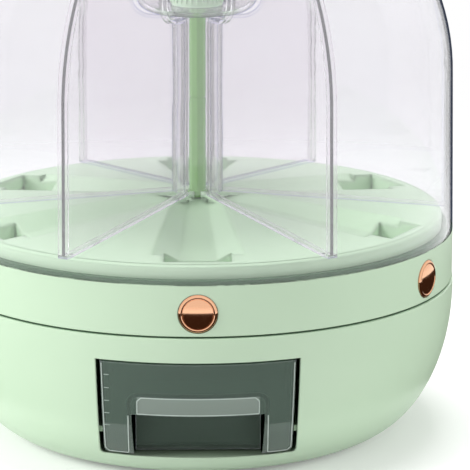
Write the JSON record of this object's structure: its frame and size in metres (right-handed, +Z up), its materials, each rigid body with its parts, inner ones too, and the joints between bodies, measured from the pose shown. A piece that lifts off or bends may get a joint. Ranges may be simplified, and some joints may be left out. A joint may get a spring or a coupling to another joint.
{
  "type": "rotating cereal dispenser",
  "caption": "Clear domed hopper of wedge compartments that turns on a bowl base; push buttons open gates that drop cereal into a drawer in the base.",
  "frame": {"origin": "on the ground under the axis of rotation", "axes": "+Z up along the axis of rotation, -Y towards the drawer and the front button"},
  "size_m": [0.301, 0.3024, 0.3554],
  "materials": {
    "mint_plastic": "satin moulded",
    "clear_plastic": "clear moulded",
    "smoke_plastic": "smoky clear moulded",
    "green_plastic": "gloss moulded",
    "rose_gold": "metal plated",
    "inner_plastic": "matte moulded",
    "steel": "bright",
    "soft_rubber": "matte"
  },
  "bodies": {
    "base": {"base_shell": "mint_plastic", "feet": "soft_rubber", "drawer_bay": "inner_plastic", "base_deck": "inner_plastic", "deck_screws": "steel", "pivot_spindle": "steel", "pivot_nut": "steel", "pivot_washer": "steel", "pivot_screw": "steel"},
    "bearing": {"ball_cage": "inner_plastic", "bearing_balls": "steel"},
    "drawer": {"drawer": "smoke_plastic"},
    "turntable": {"turntable_plate": "inner_plastic", "plate_screws": "steel", "button_ring": "mint_plastic", "tray": "mint_plastic", "center_rod": "green_plastic", "rod_nut": "steel", "divider_hub": "clear_plastic", "hub_knob": "mint_plastic", "dome": "clear_plastic", "dome_seal": "soft_rubber", "divider_1": "clear_plastic", "return_spring_1": "steel", "divider_2": "clear_plastic", "return_spring_2": "steel", "divider_3": "clear_plastic", "return_spring_3": "steel", "divider_4": "clear_plastic", "return_spring_4": "steel", "divider_5": "clear_plastic", "return_spring_5": "steel", "divider_6": "clear_plastic", "return_spring_6": "steel"},
    "lid": {"lid": "mint_plastic", "lid_seal": "soft_rubber", "lid_knob": "rose_gold", "knob_screw": "steel"},
    "button_1": {"button_1": "rose_gold", "gate_1": "inner_plastic"},
    "button_2": {"button_2": "rose_gold", "gate_2": "inner_plastic"},
    "button_3": {"button_3": "rose_gold", "gate_3": "inner_plastic"},
    "button_4": {"button_4": "rose_gold", "gate_4": "inner_plastic"},
    "button_5": {"button_5": "rose_gold", "gate_5": "inner_plastic"},
    "button_6": {"button_6": "rose_gold", "gate_6": "inner_plastic"}
  },
  "joints": [
    {"name": "turntable_spin", "type": "hinge", "parent": "base", "child": "turntable", "pos_m": [0, 0, 0.0915], "axis": [0, 0, 1], "continuous": true},
    {"name": "bearing_roll", "type": "hinge", "parent": "base", "child": "bearing", "pos_m": [0, 0, 0.08545], "axis": [0, 0, 1], "continuous": true},
    {"name": "drawer_slide", "type": "slide", "parent": "base", "child": "drawer", "axis": [0, -1, 0], "range_m": [0, 0.1]},
    {"name": "lid_lift", "type": "slide", "parent": "turntable", "child": "lid", "axis": [0, 0, 1], "range_m": [0, 0.08]},
    {"name": "button_1_press", "type": "slide", "parent": "turntable", "child": "button_1", "axis": [0, 1, 0], "range_m": [0, 0.01], "stiffness_N_per_m": 300, "springref_m": -0.006, "deforming": ["return_spring_1"]},
    {"name": "button_2_press", "type": "slide", "parent": "turntable", "child": "button_2", "axis": [-0.866, 0.5, 0], "range_m": [0, 0.01], "stiffness_N_per_m": 300, "springref_m": -0.006, "deforming": ["return_spring_2"]},
    {"name": "button_3_press", "type": "slide", "parent": "turntable", "child": "button_3", "axis": [-0.866, -0.5, 0], "range_m": [0, 0.01], "stiffness_N_per_m": 300, "springref_m": -0.006, "deforming": ["return_spring_3"]},
    {"name": "button_4_press", "type": "slide", "parent": "turntable", "child": "button_4", "axis": [0, -1, 0], "range_m": [0, 0.01], "stiffness_N_per_m": 300, "springref_m": -0.006, "deforming": ["return_spring_4"]},
    {"name": "button_5_press", "type": "slide", "parent": "turntable", "child": "button_5", "axis": [0.866, -0.5, 0], "range_m": [0, 0.01], "stiffness_N_per_m": 300, "springref_m": -0.006, "deforming": ["return_spring_5"]},
    {"name": "button_6_press", "type": "slide", "parent": "turntable", "child": "button_6", "axis": [0.866, 0.5, 0], "range_m": [0, 0.01], "stiffness_N_per_m": 300, "springref_m": -0.006, "deforming": ["return_spring_6"]}
  ],
  "couplings": [
    {"joint": "bearing_roll", "follows": "turntable_spin", "ratio": 0.5}
  ]
}
